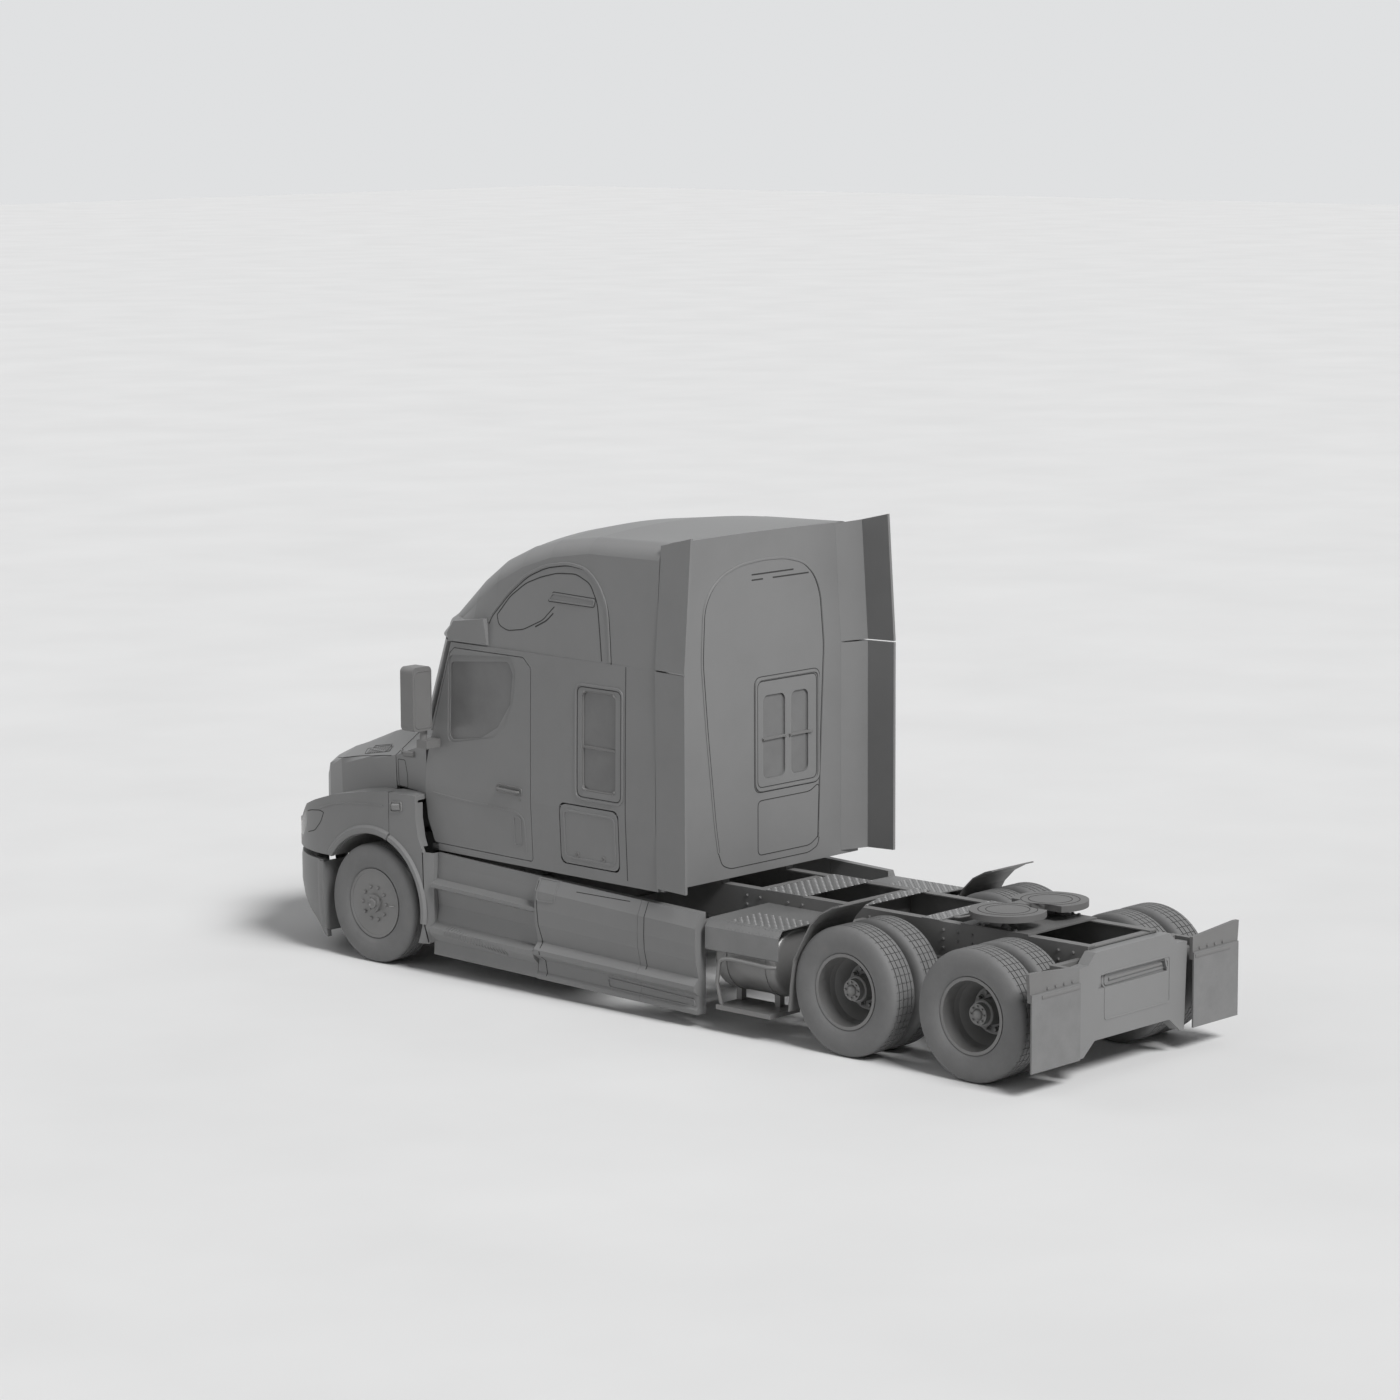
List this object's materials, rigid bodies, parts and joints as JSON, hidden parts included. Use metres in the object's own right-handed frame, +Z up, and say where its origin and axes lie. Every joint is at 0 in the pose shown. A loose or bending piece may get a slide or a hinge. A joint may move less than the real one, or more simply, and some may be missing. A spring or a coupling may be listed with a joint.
{
  "type": "semi truck tractor unit",
  "caption": "Highway tractor unit with a conventional hood, raised-roof sleeper cab, side skirts, fuel tanks, tandem drive axles and a fifth wheel.",
  "frame": {"origin": "on the ground, under the middle of the truck's box", "axes": "-Y forward, +X to the driver's left, +Z up"},
  "size_m": [2.9, 8.63, 3.8969],
  "materials": {
    "body_paint": "matte",
    "chassis_paint": "matte",
    "chassis_iron": "matte",
    "wheel_metal": "matte",
    "tyre": "matte",
    "window_glass": "satin",
    "lamp": "satin",
    "trim": "matte",
    "tank_alloy": "matte",
    "tread_plate": "matte",
    "flap_rubber": "matte",
    "seat_fabric": "matte",
    "radiator_alloy": "matte"
  },
  "bodies": {
    "chassis": {"front_axle": "chassis_iron", "suspension": "chassis_iron", "drive_axle_housings": "chassis_iron", "frame_rails": "chassis_paint", "crossmembers": "chassis_paint", "front_brackets": "chassis_paint", "engine": "chassis_iron", "driveline": "chassis_iron", "radiator": "radiator_alloy", "cab_sides": "body_paint", "fixed_glass": "window_glass", "roof_cap": "body_paint", "sun_visor": "body_paint", "back_wall": "body_paint", "cab_floor": "chassis_paint", "cowl": "body_paint", "windscreen_frame": "body_paint", "bumper": "body_paint", "fender_rears": "body_paint", "side_skirts": "body_paint", "fuel_tanks": "tank_alloy", "tank_straps": "tank_alloy", "deck_plates": "tread_plate", "quarter_fenders": "trim", "fifth_wheel_base": "chassis_iron", "tail_fairing": "body_paint", "mudflap_hangers": "chassis_paint", "mudflaps": "flap_rubber", "extenders": "body_paint", "seats_and_bunk": "seat_fabric", "dashboard": "trim"},
    "hood": {"hood": "body_paint", "grille": "trim", "headlamps": "lamp"},
    "door_left": {"door_left": "body_paint", "door_glass_left": "window_glass", "mirror_left": "trim"},
    "door_right": {"door_right": "body_paint", "door_glass_right": "window_glass", "mirror_right": "trim"},
    "luggage_door_left": {"luggage_door_left": "body_paint"},
    "luggage_door_right": {"luggage_door_right": "body_paint"},
    "knuckle_left": {"knuckle_left": "chassis_iron"},
    "knuckle_right": {"knuckle_right": "chassis_iron"},
    "front_wheel_left": {"front_tyre_left": "tyre", "front_rim_left": "wheel_metal"},
    "front_wheel_right": {"front_tyre_right": "tyre", "front_rim_right": "wheel_metal"},
    "fifth_wheel": {"fifth_wheel_plate": "chassis_iron"},
    "front_drive_wheels_left": {"front_drive_tyres_left": "tyre", "front_drive_rims_left": "wheel_metal"},
    "front_drive_wheels_right": {"front_drive_tyres_right": "tyre", "front_drive_rims_right": "wheel_metal"},
    "rear_drive_wheels_left": {"rear_drive_tyres_left": "tyre", "rear_drive_rims_left": "wheel_metal"},
    "rear_drive_wheels_right": {"rear_drive_tyres_right": "tyre", "rear_drive_rims_right": "wheel_metal"}
  },
  "joints": [
    {"name": "hood_tilt", "type": "hinge", "parent": "chassis", "child": "hood", "pos_m": [0, -4.085, 0.52], "axis": [1, 0, 0], "range_deg": [0, 70]},
    {"name": "door_left_hinge", "type": "hinge", "parent": "chassis", "child": "door_left", "pos_m": [1.108, -2.235, 1.6], "axis": [0, 0, -1], "range_deg": [0, 70]},
    {"name": "door_right_hinge", "type": "hinge", "parent": "chassis", "child": "door_right", "pos_m": [-1.108, -2.235, 1.6], "axis": [0, 0, 1], "range_deg": [0, 70]},
    {"name": "luggage_door_left_hinge", "type": "hinge", "parent": "chassis", "child": "luggage_door_left", "pos_m": [1.20528, -0.2895, 1.615], "axis": [-0.0323, -0.9995, 0], "range_deg": [0, 85]},
    {"name": "luggage_door_right_hinge", "type": "hinge", "parent": "chassis", "child": "luggage_door_right", "pos_m": [-1.20528, -0.2895, 1.615], "axis": [-0.0323, 0.9995, 0], "range_deg": [0, 85]},
    {"name": "steer_left", "type": "hinge", "parent": "chassis", "child": "knuckle_left", "pos_m": [0.94, -2.835, 0.512], "axis": [0, 0, 1], "range_deg": [-35, 35]},
    {"name": "steer_right", "type": "hinge", "parent": "chassis", "child": "knuckle_right", "pos_m": [-0.94, -2.835, 0.512], "axis": [0, 0, 1], "range_deg": [-35, 35]},
    {"name": "front_spin_left", "type": "hinge", "parent": "knuckle_left", "child": "front_wheel_left", "pos_m": [1.103, -2.835, 0.512], "axis": [1, 0, 0], "continuous": true},
    {"name": "front_spin_right", "type": "hinge", "parent": "knuckle_right", "child": "front_wheel_right", "pos_m": [-1.103, -2.835, 0.512], "axis": [1, 0, 0], "continuous": true},
    {"name": "front_drive_spin_left", "type": "hinge", "parent": "chassis", "child": "front_drive_wheels_left", "pos_m": [0.88, 2.395, 0.512], "axis": [1, 0, 0], "continuous": true},
    {"name": "front_drive_spin_right", "type": "hinge", "parent": "chassis", "child": "front_drive_wheels_right", "pos_m": [-0.88, 2.395, 0.512], "axis": [1, 0, 0], "continuous": true},
    {"name": "rear_drive_spin_left", "type": "hinge", "parent": "chassis", "child": "rear_drive_wheels_left", "pos_m": [0.88, 3.635, 0.512], "axis": [1, 0, 0], "continuous": true},
    {"name": "rear_drive_spin_right", "type": "hinge", "parent": "chassis", "child": "rear_drive_wheels_right", "pos_m": [-0.88, 3.635, 0.512], "axis": [1, 0, 0], "continuous": true},
    {"name": "fifth_wheel_tilt", "type": "hinge", "parent": "chassis", "child": "fifth_wheel", "pos_m": [0, 3.265, 1.048], "axis": [1, 0, 0], "range_deg": [-12, 12]}
  ],
  "couplings": [
    {"joint": "steer_right", "follows": "steer_left", "ratio": 1}
  ]
}
